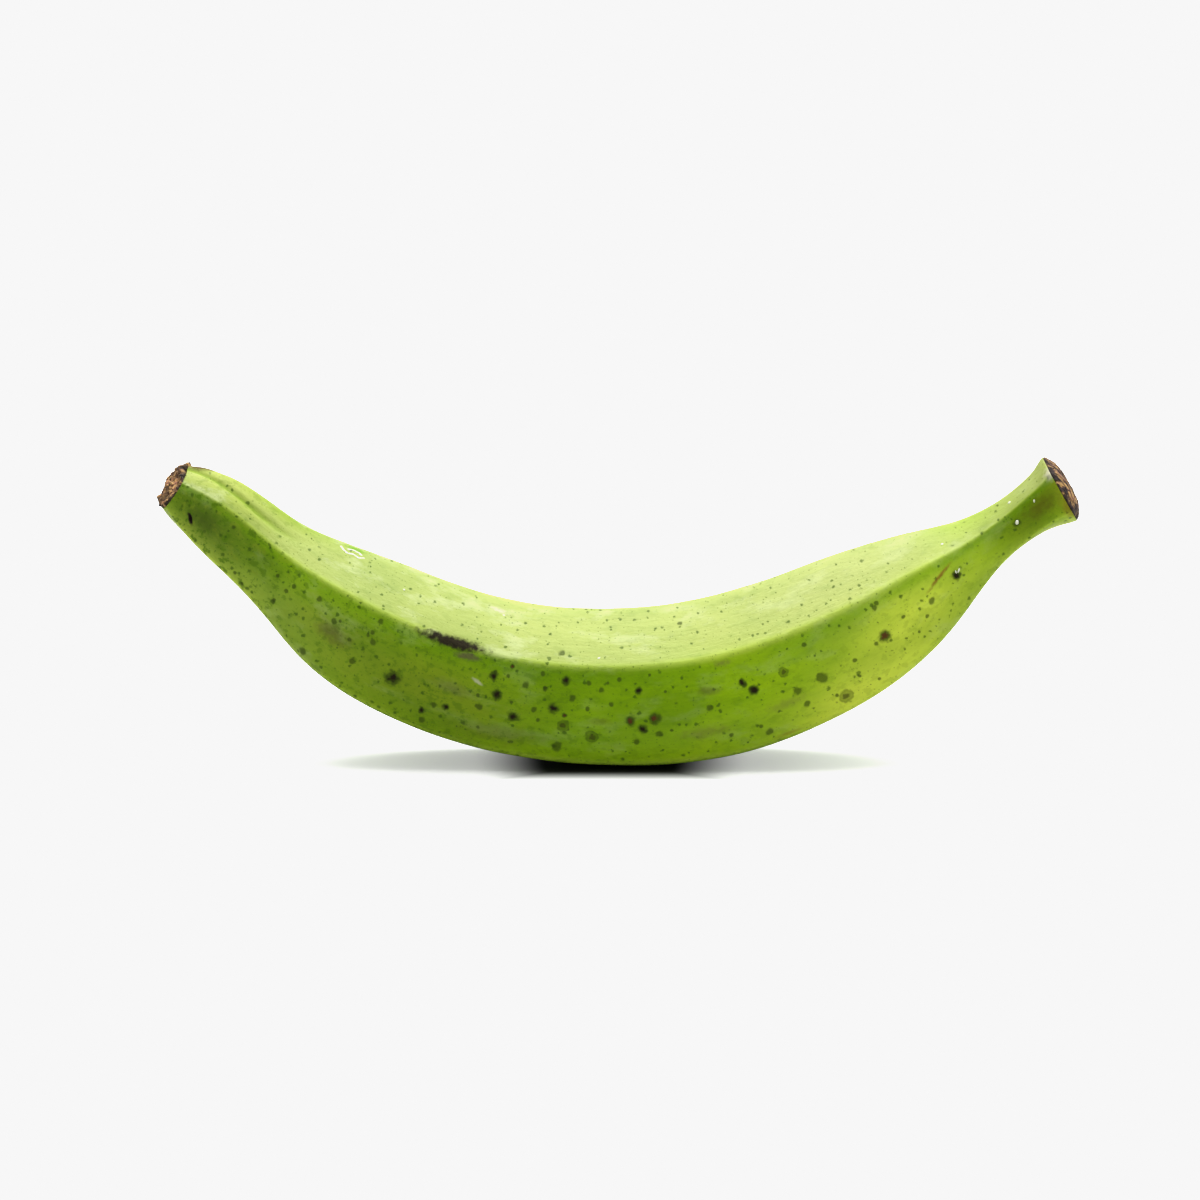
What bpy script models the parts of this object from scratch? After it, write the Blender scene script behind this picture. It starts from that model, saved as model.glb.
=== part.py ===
"""One green plantain, lying on the outside of its curve with both ends raised.

The fruit grew as one piece, so it is one solid. Its skin is a loft: a ridged
five-sided section is carried along a curved centre line that runs from the
dried blossom end, at -X, to the cut stalk, at +X. The fruit rests on the
flattish underside of its curve, and its two ends are closed by the corky
blossom scar and by the cut face of the stalk.

Units are metres, +Z is up, and the origin is on the surface that the fruit
lies on, under the middle of its bounding box.
"""

import bmesh
import bpy
import numpy as np

MM = 0.001

# The centre line, from the blossom end to the stalk. Each row holds x, y, z
# and the radius out to the ridges, in millimetres, before the fruit is set
# down on its origin.
CENTRE_LINE = (
    (-131.6, -4.0, 83.2, 8.4),
    (-120.0, -2.8, 75.0, 13.2),
    (-104.0, -1.5, 61.0, 16.0),
    (-84.0, -0.5, 45.2, 22.8),
    (-60.0, 0.0, 31.8, 26.4),
    (-32.0, 0.0, 22.6, 27.2),
    (0.0, 0.0, 19.5, 28.0),
    (32.0, 0.0, 22.6, 28.6),
    (60.0, 0.0, 32.3, 27.3),
    (82.0, 0.0, 44.0, 24.0),
    (98.0, 0.0, 54.8, 17.4),
    (110.0, 0.0, 63.5, 11.2),
    (122.0, -0.6, 72.0, 9.2),
    (134.0, -2.0, 81.8, 11.6),
)

# The five ridges, as angles in degrees round the section. Zero is the inside
# of the curve, minus is towards -Y and plus is towards +Y.
RIDGE_ANGLES = (-8.0, -64.0, -132.0, 132.0, 66.0)

RIDGE_SHARPNESS = 12.0      # power that joins the facets: higher is sharper
FACET_BULGE = 0.25          # 0 is a flat facet, 1 is a round section
ROUND_RADIUS = 0.93         # radius of that round section, in ridge radii

# The shallow hollow between the two upper ridges near the blossom end.
HOLLOW_ANGLE = -33.0        # degrees
HOLLOW_WIDTH = 11.0         # degrees
HOLLOW_PLACE = 27.0 * MM    # distance from the blossom end
HOLLOW_REACH = 20.0 * MM
HOLLOW_DEPTH = 0.07         # share of the radius

REST_FLAT_DEPTH = 0.4 * MM  # how far the underside gives where it is lain on

# The two end faces: how far each is inset, and how far its middle stands out.
SCAR_RIM = 1.3 * MM
SCAR_BUMP = 0.9 * MM
CUT_RIM = 1.2 * MM
CUT_BUMP = 1.0 * MM

STATIONS = 68               # rings of points along the fruit
POINTS_ROUND = 36           # points in each ring

PEEL_COLOUR = (0.24, 0.40, 0.045, 1.0)
PEEL_ROUGHNESS = 0.42
SHADE_ANGLE = np.radians(35.0)


def clear_scene():
    """Remove every object that the file was opened with."""
    for leftover in list(bpy.data.objects):
        bpy.data.objects.remove(leftover, do_unlink=True)


def smooth_through(knots, values, at):
    """Read a natural cubic spline through the rows of values, at each place.

    The second derivatives at the knots solve a three-diagonal system, and
    they are zero at both ends.
    """
    gaps = np.diff(knots)
    system = np.eye(len(knots))
    target = np.zeros_like(values)
    for i in range(1, len(knots) - 1):
        system[i, i - 1] = gaps[i - 1]
        system[i, i] = 2.0 * (gaps[i - 1] + gaps[i])
        system[i, i + 1] = gaps[i]
        rise_after = (values[i + 1] - values[i]) / gaps[i]
        rise_before = (values[i] - values[i - 1]) / gaps[i - 1]
        target[i] = 6.0 * (rise_after - rise_before)
    bend = np.linalg.solve(system, target)

    span = np.clip(np.searchsorted(knots, at) - 1, 0, len(knots) - 2)
    gap = gaps[span][:, None]
    step = (at - knots[span])[:, None]
    slope = (values[span + 1] - values[span]) / gap
    slope -= gap * (2.0 * bend[span] + bend[span + 1]) / 6.0
    cubic = (bend[span + 1] - bend[span]) / (6.0 * gap)
    return values[span] + slope * step + 0.5 * bend[span] * step ** 2 + cubic * step ** 3


def facet_planes():
    """Give each facet between two ridges its direction and its distance.

    The ridges lie on a circle of radius one, so a facet faces halfway between
    its two ridges, at the cosine of half the angle between them.
    """
    ridges = np.radians(RIDGE_ANGLES)
    following = np.roll(ridges, -1)
    turn = (following - ridges + np.pi) % (2.0 * np.pi) - np.pi
    return ridges + 0.5 * turn, np.cos(0.5 * turn)


def section_radius(angles):
    """Radius round the section, as a share of the ridge radius.

    Each facet is a line at its own distance. The lines are joined by a power
    sum, which rounds the ridges off, and the result is mixed with a circle so
    that the facets bulge.
    """
    directions, distances = facet_planes()
    reach = np.cos(angles[:, None] - directions) / distances
    sides = np.maximum(reach, 0.0) ** RIDGE_SHARPNESS
    five_sided = sides.sum(axis=1) ** (-1.0 / RIDGE_SHARPNESS)
    return five_sided * (1.0 - FACET_BULGE) + ROUND_RADIUS * FACET_BULGE


def skin_rings():
    """Points of the skin, as an array of stations by points round by x, y, z."""
    rows = np.array(CENTRE_LINE) * MM
    steps = np.linalg.norm(np.diff(rows[:, :3], axis=0), axis=1)
    knots = np.concatenate(([0.0], np.cumsum(steps)))
    along = np.linspace(0.0, knots[-1], STATIONS)
    line = smooth_through(knots, rows, along)
    centre = line[:, :3]
    radius = line[:, 3]

    forward = np.gradient(centre, along, axis=0)
    forward /= np.linalg.norm(forward, axis=1, keepdims=True)
    sideways = np.array((0.0, 1.0, 0.0)) - forward * forward[:, 1:2]
    sideways /= np.linalg.norm(sideways, axis=1, keepdims=True)
    inward = np.cross(forward, sideways)

    angles = np.linspace(-np.pi, np.pi, POINTS_ROUND, endpoint=False)
    share = np.repeat(section_radius(angles)[None, :], STATIONS, axis=0)
    near_tip = np.exp(-((along - HOLLOW_PLACE) / HOLLOW_REACH) ** 2)
    across = (np.degrees(angles) - HOLLOW_ANGLE) / HOLLOW_WIDTH
    share -= HOLLOW_DEPTH * near_tip[:, None] * np.exp(-across ** 2)[None, :]

    out = (share * radius[:, None])[:, :, None]
    up_part = inward[:, None, :] * np.cos(angles)[None, :, None]
    side_part = sideways[:, None, :] * np.sin(angles)[None, :, None]
    return centre[:, None, :] + out * (up_part + side_part)


def set_down(rings):
    """Move the rings onto the origin and flatten the strip they rest on."""
    lowest = rings.reshape(-1, 3).min(axis=0)
    highest = rings.reshape(-1, 3).max(axis=0)
    rings = rings - (lowest + highest) / 2.0
    rings[:, :, 2] += (highest[2] - lowest[2]) / 2.0 - REST_FLAT_DEPTH
    rings[:, :, 2] = np.maximum(rings[:, :, 2], 0.0)
    return rings


def add_ring(bm, points):
    """Add one closed ring of points to the mesh, and return its edges."""
    verts = [bm.verts.new(point) for point in points]
    return [bm.edges.new((vert, verts[i - 1])) for i, vert in enumerate(verts)]


def close_end(bm, edges, rim, bump):
    """Close a ring with a face, inset it, and raise its middle a little."""
    made = bmesh.ops.edgeloop_fill(bm, edges=edges)["faces"]
    bmesh.ops.recalc_face_normals(bm, faces=bm.faces)
    bmesh.ops.inset_individual(bm, faces=made, thickness=rim, depth=0.0, use_even_offset=True)
    outwards = made[0].normal.copy()
    middle = bmesh.ops.poke(bm, faces=made)["verts"]
    for vert in middle:
        vert.co += outwards * bump


def peel_material():
    """Waxy green skin."""
    material = bpy.data.materials.new("peel")
    material.use_nodes = True
    shader = material.node_tree.nodes["Principled BSDF"]
    shader.inputs["Base Color"].default_value = PEEL_COLOUR
    shader.inputs["Roughness"].default_value = PEEL_ROUGHNESS
    shader.inputs["Metallic"].default_value = 0.0
    material.diffuse_color = PEEL_COLOUR
    return material


def make_plantain():
    """Build the whole fruit as one closed solid."""
    bm = bmesh.new()
    loops = [add_ring(bm, points) for points in set_down(skin_rings())]
    for before, after in zip(loops, loops[1:]):
        bmesh.ops.bridge_loops(bm, edges=before + after)
    close_end(bm, loops[0], SCAR_RIM, SCAR_BUMP)
    close_end(bm, loops[-1], CUT_RIM, CUT_BUMP)
    bmesh.ops.recalc_face_normals(bm, faces=bm.faces)

    mesh = bpy.data.meshes.new("plantain")
    bm.to_mesh(mesh)
    bm.free()
    mesh.materials.append(peel_material())
    mesh.shade_smooth()
    mesh.set_sharp_from_angle(angle=SHADE_ANGLE)
    plantain = bpy.data.objects.new("plantain", mesh)
    bpy.context.scene.collection.objects.link(plantain)
    return plantain


clear_scene()
make_plantain()
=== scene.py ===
# %% [markdown]
# # A green plantain, made as a surface
#
# A plantain is one curved fruit with five long ridges. It has a waxy peel, a stalk
# that was cut through with a knife, and a dry scar at the other end where the flower
# fell off. This lesson makes its skin as one fine surface, worked out with numpy, and
# then paints it with shader nodes.
#
# The frame comes first. It holds the plain solid of the fruit, in metres, with +Z up.
# Everything made below takes its place from that solid's box, so nothing has to be
# fitted by eye afterwards.

import bpy
import numpy as np
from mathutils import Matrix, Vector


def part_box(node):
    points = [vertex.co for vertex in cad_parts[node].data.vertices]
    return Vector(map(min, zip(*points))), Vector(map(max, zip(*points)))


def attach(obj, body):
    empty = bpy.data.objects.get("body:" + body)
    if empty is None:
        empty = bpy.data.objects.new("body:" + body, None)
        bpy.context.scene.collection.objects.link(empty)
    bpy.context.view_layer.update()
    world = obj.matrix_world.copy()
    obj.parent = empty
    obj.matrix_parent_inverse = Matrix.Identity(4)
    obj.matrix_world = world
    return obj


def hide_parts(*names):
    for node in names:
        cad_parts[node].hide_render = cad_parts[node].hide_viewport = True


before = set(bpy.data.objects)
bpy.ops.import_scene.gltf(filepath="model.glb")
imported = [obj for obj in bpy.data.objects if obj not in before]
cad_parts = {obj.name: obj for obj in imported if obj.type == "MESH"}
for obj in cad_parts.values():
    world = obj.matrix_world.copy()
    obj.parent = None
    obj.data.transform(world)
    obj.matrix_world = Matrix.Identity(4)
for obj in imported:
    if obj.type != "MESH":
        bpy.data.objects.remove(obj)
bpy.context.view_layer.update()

box_low, box_high = (np.array(corner, dtype=float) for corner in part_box("plantain"))
MM = 0.001
print("the solid runs from", box_low, "to", box_high)

# %% [markdown]
# ## The line that the fruit grew along
#
# A bent fruit is easiest to make as a section carried along a path. The path could be
# a Bezier curve with a bevel object, but then every ring would have the same ridges,
# and the skin could not know how far along and how far round each of its points lies.
# Those two numbers are what the spots and the grain are placed by, so the path is a
# table of a few points, joined by a smooth curve.

# %% The centre line
# Each row holds x, y, z and the radius out to the ridges, in millimetres. The first
# row is the blossom end and the last row is the cut face of the stalk.
CENTRE_LINE = np.array((
    (-131.6, -4.0, 83.2, 8.4),
    (-120.0, -2.8, 75.0, 13.2),
    (-104.0, -1.5, 61.0, 16.0),
    (-84.0, -0.5, 45.2, 22.8),
    (-60.0, 0.0, 31.8, 26.4),
    (-32.0, 0.0, 22.6, 27.2),
    (0.0, 0.0, 19.5, 28.0),
    (32.0, 0.0, 22.6, 28.6),
    (60.0, 0.0, 32.3, 27.3),
    (82.0, 0.0, 44.0, 24.0),
    (98.0, 0.0, 54.8, 17.4),
    (110.0, 0.0, 63.5, 11.2),
    (122.0, -0.6, 72.0, 9.2),
    (134.0, -2.0, 80.9, 11.6),
))
line_steps = np.linalg.norm(np.diff(CENTRE_LINE[:, :3], axis=0), axis=1)
line_knots = np.concatenate(([0.0], np.cumsum(line_steps)))
LENGTH = line_knots[-1]
print("the fruit is %.0f mm long, measured along its curve" % LENGTH)


# %% A smooth curve through a table
def smooth_through(knots, values, at):
    """Read a natural cubic spline through the rows of values, at any places.

    The second derivatives at the knots solve a three-diagonal system and are zero at
    both ends. Between two knots the curve is a cubic with those second derivatives.
    """
    gaps = np.diff(knots)
    system = np.eye(len(knots))
    target = np.zeros_like(values)
    inner = np.arange(1, len(knots) - 1)
    system[inner, inner - 1] = gaps[:-1]
    system[inner, inner] = 2.0 * (gaps[:-1] + gaps[1:])
    system[inner, inner + 1] = gaps[1:]
    rises = np.diff(values, axis=0) / gaps[:, None]
    target[inner] = 6.0 * np.diff(rises, axis=0)
    bend = np.linalg.solve(system, target)

    span = np.clip(np.searchsorted(knots, at) - 1, 0, len(gaps) - 1)
    gap = gaps[span][..., None]
    step = (at - knots[span])[..., None]
    slope = rises[span] - gap * (2.0 * bend[span] + bend[span + 1]) / 6.0
    cubic = (bend[span + 1] - bend[span]) / (6.0 * gap)
    return values[span] + slope * step + 0.5 * bend[span] * step ** 2 + cubic * step ** 3


# %% [markdown]
# ## A section with five ridges
#
# Cut across, a plantain is a pentagon with rounded corners and slightly bulging
# sides. One way is to draw that outline by hand and scale it. A formula is better
# here, because some ridges can then be crisp and others soft: each side is a straight
# line at its own distance, and a power sum joins the lines. A high power keeps a corner
# sharp, and a low one melts it.

# %% The ridged section
DEGREE = np.pi / 180.0
RIDGES = np.radians((-8.0, -64.0, -132.0, 132.0, 66.0))     # from the top, forward, round
FACET_BULGE = 0.25          # 0 is a flat facet, 1 is a round section
ROUND_RADIUS = 0.93         # radius of that round section, in ridge radii
END_ROUNDING = 0.3          # how much rounder the section is at its two ends
END_ROUNDING_REACH = 12.0   # mm
SOFT_POWER = 14.0           # power of the sum at the soft ridges
CRISP_POWER = 100.0         # and at the two crisp ones, left and right of the top
CRISP_PLACE = 65.0 * DEGREE
CRISP_WIDTH = 24.0 * DEGREE
RIDGE_PINCH = 0.3           # how far the ridges draw together on the stalk, in radians
PINCH_LENGTH = 34.0         # over this last stretch, in mm


def bell(value, middle, width):
    """A smooth hump that is 1 at the middle and falls off within the width."""
    return np.exp(-((value - middle) / width) ** 2)


def step_up(value, start, end):
    """0 before the start, 1 after the end, and a smooth cubic step between."""
    share = np.clip((value - start) / (end - start), 0.0, 1.0)
    return share * share * (3.0 - 2.0 * share)


def near_tip(along, reach):
    """1 at the blossom end, and falling to 0 over the reach."""
    return 1.0 - step_up(along, 0.0, reach)


def near_cut(along, reach):
    """1 at the cut end, and falling to 0 over the reach."""
    return step_up(along, LENGTH - reach, LENGTH)


def half_turned(angle):
    """The same angle, brought between minus and plus half a turn."""
    return (angle + np.pi) % (2.0 * np.pi) - np.pi


def drawn_together(along, angle):
    """The angle at which the ridges are read.

    Towards the stalk the ridges draw together on the inside of the curve, so a sine
    of the angle is added there.
    """
    return angle + RIDGE_PINCH * near_cut(along, PINCH_LENGTH) * np.sin(angle)


def section_share(along, angle):
    """Radius round the section, in ridge radii, from the five lines' power sum."""
    turned = drawn_together(along, angle)
    turn = half_turned(np.roll(RIDGES, -1) - RIDGES)
    facing = RIDGES + 0.5 * turn
    distance = np.cos(0.5 * turn)
    crisp = bell(np.abs(turned), CRISP_PLACE, CRISP_WIDTH)
    share = 0.0
    for power, part in ((SOFT_POWER, 1.0 - crisp), (CRISP_POWER, crisp)):
        total = np.zeros_like(turned)
        for direction, reach in zip(facing, distance):
            total += np.maximum(np.cos(turned - direction) / reach, 0.0) ** power
        share = share + part * total ** (-1.0 / power)
    near_end = near_tip(along, END_ROUNDING_REACH) + near_cut(along, END_ROUNDING_REACH)
    bulge = FACET_BULGE + END_ROUNDING * near_end
    return share * (1.0 - bulge) + ROUND_RADIUS * bulge


# %% [markdown]
# ## From two numbers to a point
#
# Every point of the skin is named by how far along the fruit it lies, in millimetres,
# and by its angle round the fruit: zero is the inside of the curve, minus is the
# front and plus is the back. The functions below turn whole arrays of those two
# numbers into places, so one call makes the skin, another makes the rim of the stalk,
# and another drops a bead of sap exactly on the peel.

# %% Points on the smooth skin
HOLLOW_ANGLE = -40.0 * DEGREE       # the groove between the two upper ridges
HOLLOW_SWAY = 10.0 * DEGREE         # how far it bends toward the top at its ends
HOLLOW_WIDTH = 5.5 * DEGREE
HOLLOW_PLACE = 30.0                 # mm along, where it lies lowest
HOLLOW_REACH = 20.0
HOLLOW_FADE = (22.0, 46.0)          # mm along, where it fades out
HOLLOW_DEPTH = 0.052                # share of the radius
SHOULDER = 0.3                      # mm that the tip is rounded off by
SHOULDER_REACH = 4.0
TIP_SWELL = 0.6                     # mm that the tip swells on its underside
TIP_SWELL_REACH = 18.0
WAIST = 1.1                         # mm that the underside draws in behind the tip
WAIST_PLACE = 45.0
WAIST_REACH = 15.0
FLARE = 1.1                         # mm that the stalk widens at the cut
FLARE_EVEN = 0.7                    # share of it that is the same all round
FLARE_REACH = 8.0
TIP_LEAN = 2.2                      # mm that the tip's face stands back, most at the front
TIP_LEAN_EVEN = 1.6                 # that lean's even part, beside the sine of the angle
TIP_LEAN_REACH = 18.0
CUT_SKEW = 1.35                     # mm that the knife left above, and took below
CUT_SKEW_REACH = 12.0
LINE_STEP = 0.5                     # mm before and after a place, to read its direction
ACROSS = np.array((0.0, 1.0, 0.0))


def read_line(along):
    """The centre line's place and radius at a distance along."""
    return smooth_through(line_knots, CENTRE_LINE, along)


def frame_at(along):
    """Centre, and the forward, sideways and inward directions at a distance along.

    Forward is the difference between the line a little further on and a little
    before. Sideways is +Y made square to it, and inward is square to both.
    """
    centre = read_line(along)[..., :3]
    forward = read_line(along + LINE_STEP)[..., :3] - read_line(along - LINE_STEP)[..., :3]
    forward /= np.linalg.norm(forward, axis=-1, keepdims=True)
    sideways = ACROSS - forward * forward[..., 1:2]
    sideways /= np.linalg.norm(sideways, axis=-1, keepdims=True)
    return centre, forward, sideways, np.cross(forward, sideways)


def hollow(along, angle):
    """The groove near the tip: 1 along its bottom, which bends like a parabola."""
    bottom = HOLLOW_ANGLE + HOLLOW_SWAY * ((along - HOLLOW_PLACE) / HOLLOW_REACH) ** 2
    return (1.0 - step_up(along, *HOLLOW_FADE)) * bell(angle, bottom, HOLLOW_WIDTH)


def skin_radius(along, angle):
    """Radius of the skin in mm: the ridged section, less the groove near the tip."""
    below = 0.5 * (1.0 - np.cos(angle))
    flare = near_cut(along, FLARE_REACH) ** 2
    radius = read_line(along)[..., 3] - SHOULDER * near_tip(along, SHOULDER_REACH)
    radius = radius + TIP_SWELL * near_tip(along, TIP_SWELL_REACH) * below
    radius = radius - WAIST * bell(along, WAIST_PLACE, WAIST_REACH) * below
    radius = radius + FLARE * flare * (FLARE_EVEN + (1.0 - FLARE_EVEN) * np.cos(angle))
    return (section_share(along, angle) - HOLLOW_DEPTH * hollow(along, angle)) * radius


def straightened(along, angle):
    """The place a skin point would have if the fruit were pulled straight, in mm."""
    out = skin_radius(along, angle)
    return np.stack((along + 0.0 * angle, out * np.cos(angle), out * np.sin(angle)), axis=-1)


# %% [markdown]
# ## Uneven skin
#
# A real peel is never quite even. Its facets swell and sink by a few tenths of a
# millimetre, and its ridges wander. A random displacement texture would do, but sums
# of slow waves are easier to control: each wave runs in its own direction through the
# straightened fruit, so the pattern closes up round the section without a seam.

# %% Slow waves
chance = np.random.default_rng(20)


def draw_waves(length, count=14, stretch=1.0):
    """Random directions and starts for sine waves of about one length, in mm.

    The stretch makes the waves longer along the fruit than round it.
    """
    directions = chance.normal(size=(count, 3))
    directions /= np.linalg.norm(directions, axis=1, keepdims=True)
    directions[:, 0] /= stretch
    paces = 2.0 * np.pi / (length * chance.uniform(0.7, 1.4, count))
    return directions * paces[:, None], chance.uniform(0.0, 2.0 * np.pi, count)


def ripple(place, waves):
    """The sum of the waves at each place, scaled to lie mostly between -1 and 1."""
    paces, starts = waves
    return np.sin(place @ paces.T + starts).sum(axis=-1) / np.sqrt(2.0 * len(starts))


SWELL = draw_waves(55.0, stretch=1.5)
DIMPLE = draw_waves(13.0, stretch=1.7)
GRAIN = draw_waves(3.6, count=20, stretch=1.8)
# Each set of waves with its height in mm.
SKIN_WAVES = ((SWELL, 0.30), (DIMPLE, 0.075), (GRAIN, 0.018))
RELIEF_FADE = 10.0          # mm from each end over which the waves fade in
DENT_EDGE = (0.15, 1.1)     # share of a dent's half sizes where it is whole, and ends


def ellipse_place(along, angle, mark):
    """How far each point is from a mark's middle, in the mark's own half sizes.

    The mark is its place along and round, its half length and half width in mm, and
    its turn. The first number returned runs along the mark and the second across it.
    """
    mark_along, mark_angle, half_length, half_width, turn = mark
    swing = half_turned(angle - mark_angle * DEGREE)
    step_along = along - mark_along
    step_round = swing * skin_radius(np.array(mark_along), np.array(mark_angle * DEGREE))
    cosine, sine = np.cos(turn * DEGREE), np.sin(turn * DEGREE)
    return ((step_along * cosine + step_round * sine) / half_length,
            (step_round * cosine - step_along * sine) / half_width)


# Each dent is a mark as above, and its depth in mm. A minus depth is a raised crust.
DENTS = (
    ((98.5, -63.2, 14.0, 2.2, 3.0), 0.55),
    ((104.0, -69.5, 5.0, 1.2, 3.0), -0.2),
    ((9.1, -109.5, 2.3, 0.85, -28.0), 0.9),
    ((260.5, -92.0, 1.0, 1.0, 0.0), -0.45),
    ((110.7, -24.0, 4.5, 1.2, -10.0), 0.12),
    ((3.4, -4.0, 6.5, 2.2, 0.0), -0.5),
    ((170.0, 64.0, 9.0, 1.6, 3.0), 0.35),
)


def relief(along, angle):
    """Height of the uneven skin over the smooth one, in mm."""
    place = straightened(along, angle)
    height = sum(size * ripple(place, waves) for waves, size in SKIN_WAVES)
    height *= (1.0 - near_tip(along, RELIEF_FADE)) * (1.0 - near_cut(along, RELIEF_FADE))
    for mark, depth in DENTS:
        away = np.hypot(*ellipse_place(along, angle, mark))
        height -= depth * (1.0 - step_up(away, *DENT_EDGE))
    return height


def skin_point(along, angle, lift=0.0, share=1.0, push=0.0):
    """Places on the fruit in mm, before it is set down.

    The point lies at its angle round the centre line, at a share of the skin's
    radius plus the lift, and is pushed forward along the line.
    """
    centre, forward, sideways, inward = frame_at(along)
    out = (skin_radius(along, angle) + relief(along, angle)) * share + lift
    across = np.cos(angle)[..., None] * inward + np.sin(angle)[..., None] * sideways
    lean = TIP_LEAN * near_tip(along, TIP_LEAN_REACH) * share
    skew = CUT_SKEW * near_cut(along, CUT_SKEW_REACH) * share
    ahead = push + lean * 0.5 * (TIP_LEAN_EVEN - np.sin(angle)) + skew * np.cos(angle)
    return centre + out[..., None] * across + ahead[..., None] * forward


# %% [markdown]
# ## The grid of the skin
#
# The skin is a grid of 440 rows of 220 points. The rows stand closer together towards
# the ends, where the fruit is slim and its shape changes fast. At each end the grid
# turns over a small rounded rim and closes behind the cut face and the scar, so that
# the skin is one closed surface.

# %% Rows and columns
RINGS = 428
ROUND = 220
CROWDING = 0.35             # how much closer the rows stand at the ends
RIM_SHARES = np.array((0.0, 0.35, 0.7, 0.86, 0.93, 0.975))
RIM_DEPTHS = np.array((1.4, 1.4, 1.2, 0.75, 0.35, 0.1))

even = np.linspace(0.0, 1.0, RINGS)
ring_along = LENGTH * (even - CROWDING * np.sin(2.0 * np.pi * even) / (2.0 * np.pi))
rim_zero = np.zeros(len(RIM_SHARES))
row_along = np.concatenate((rim_zero, ring_along, rim_zero + LENGTH))
row_share = np.concatenate((RIM_SHARES, np.ones(RINGS), RIM_SHARES[::-1]))
row_push = np.concatenate((RIM_DEPTHS, np.zeros(RINGS), -RIM_DEPTHS[::-1]))
column_angle = np.linspace(-np.pi, np.pi, ROUND, endpoint=False)
along, angle = np.meshgrid(row_along, column_angle, indexing="ij")
peel_places = skin_point(along, angle, share=row_share[:, None], push=row_push[:, None])
print("the skin has", along.size, "points")

# %% [markdown]
# ## The dry flower scar
#
# Where the flower dried and broke off, a ragged crust stays: a face of tan and brown
# flakes inside a torn, nearly black rim. It could be sculpted by hand. Here it is a
# round plug, whose height over the end of the fruit is a formula of two numbers: how
# far out a point lies, and its angle. Waves make the rim ragged and the face flaky.

# %% A plug for either end
FRONT_ROWS = 44
SIDE_ROWS = 8
PLUG_COLUMNS = 168
SIDE_SHARES = (0.985, 0.9)          # from the rim down the side
SIDE_DEPTHS = (0.5, 2.2)            # mm
FACE_SHARES = np.linspace(0.0, 1.0, FRONT_ROWS) ** 0.8
PLUG_ANGLES = np.linspace(-np.pi, np.pi, PLUG_COLUMNS, endpoint=False)
DISC_SIZE = 10.0                    # mm, for reading waves over a face


def end_plug(place_along, facing, rim_share, height, spread):
    """A closed button on an end of the fruit, as a grid of places in mm.

    Rows run from the middle of the face out to the rim, at the section's radius times
    the rim share and the spread, then down the side and back to the middle behind.
    Height is how far the face stands out of the end, as a formula of the share of the
    way out and the angle.
    """
    out = np.concatenate((FACE_SHARES, np.linspace(*SIDE_SHARES, SIDE_ROWS), (0.5, 0.0)))
    sunk = np.concatenate((0.0 * FACE_SHARES, np.linspace(*SIDE_DEPTHS, SIDE_ROWS),
                           2 * SIDE_DEPTHS[-1:]))
    out, turn = np.meshgrid(out, PLUG_ANGLES, indexing="ij")
    face = height(out, turn)
    push = np.where(sunk[:, None] > 0.0, face[FRONT_ROWS - 1] - sunk[:, None], face)
    share = out * rim_share * (1.0 + spread(turn) * out ** 3)
    at = np.full_like(out, place_along)
    return skin_point(at, turn, share=share, push=facing * push)


def on_disc(out, turn, size):
    """Flat places on a disc of this size, from shares of the way out and angles."""
    return np.stack((out * np.cos(turn) * size, out * np.sin(turn) * size, 0.0 * out), axis=-1)


def round_waves(out, turn, waves):
    """Waves over a disc, read at the disc's own flat place so they meet all round."""
    return ripple(on_disc(out, turn, DISC_SIZE), waves)


def edge_waves(turn, waves):
    """The same waves read along the disc's edge only."""
    return round_waves(np.ones_like(turn), turn, waves)


FLAKE = draw_waves(5.5, count=12)
CRUMB = draw_waves(1.7, count=22)
RAG = draw_waves(4.2, count=10)
# In mm: how far the scar stands out, its dome, its torn rim, the rim's highest peak,
# and how much further its back stands out than its middle.
SCAR_LIFT = 0.2
SCAR_DOME = 0.4
SCAR_RIM = 0.55
SCAR_PEAK = 1.3
SCAR_LEAN = 0.5
FOLD_SPREAD = 0.22          # share of the radius that a fold lies over the fruit's top
RAG_SPREAD = 0.035


def scar_height(out, turn):
    """The scar's face: a low dome that faces the front a little, a torn rim, and flakes."""
    middle = SCAR_LIFT + SCAR_DOME * (1.0 - out ** 2)
    rim = SCAR_RIM * (1.0 + 0.9 * edge_waves(turn, RAG)) * bell(out, 0.9, 0.12)
    peak = SCAR_PEAK * bell(turn, -20.0 * DEGREE, 13.0 * DEGREE) * bell(out, 0.86, 0.2)
    lean = SCAR_LEAN * out * np.sin(turn)
    flakes = 0.55 * np.abs(round_waves(out, turn, FLAKE)) + 0.22 * round_waves(out, turn, CRUMB)
    return middle + rim + peak + lean + flakes


def scar_spread(turn):
    """How far the torn rim spreads: ragged, with a fold over the top of the fruit."""
    fold = bell(turn, 8.0 * DEGREE, 12.0 * DEGREE)
    return RAG_SPREAD * edge_waves(turn, CRUMB) + FOLD_SPREAD * fold


scar_places = end_plug(0.0, -1.0, 0.985, scar_height, scar_spread)
print("the scar stands %.1f mm out at most" % np.ptp(scar_places[..., 0]))

# %% [markdown]
# ## The cut face of the stalk
#
# A knife went through the stalk, and the face dried and bulged. Its strings show as
# dark and pale streaks across it. It is the same kind of plug as the scar, with a
# smooth dome and stringy ridges that run one way.

# %% The domed cut
STRING = draw_waves(1.5, count=18)
STRING[0][:, 0] *= 0.3              # long one way across the face
CUT_DOME = 2.6              # mm
CUT_LIFT = 0.35             # mm
CUT_SPREAD = 0.018          # share of the radius


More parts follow.
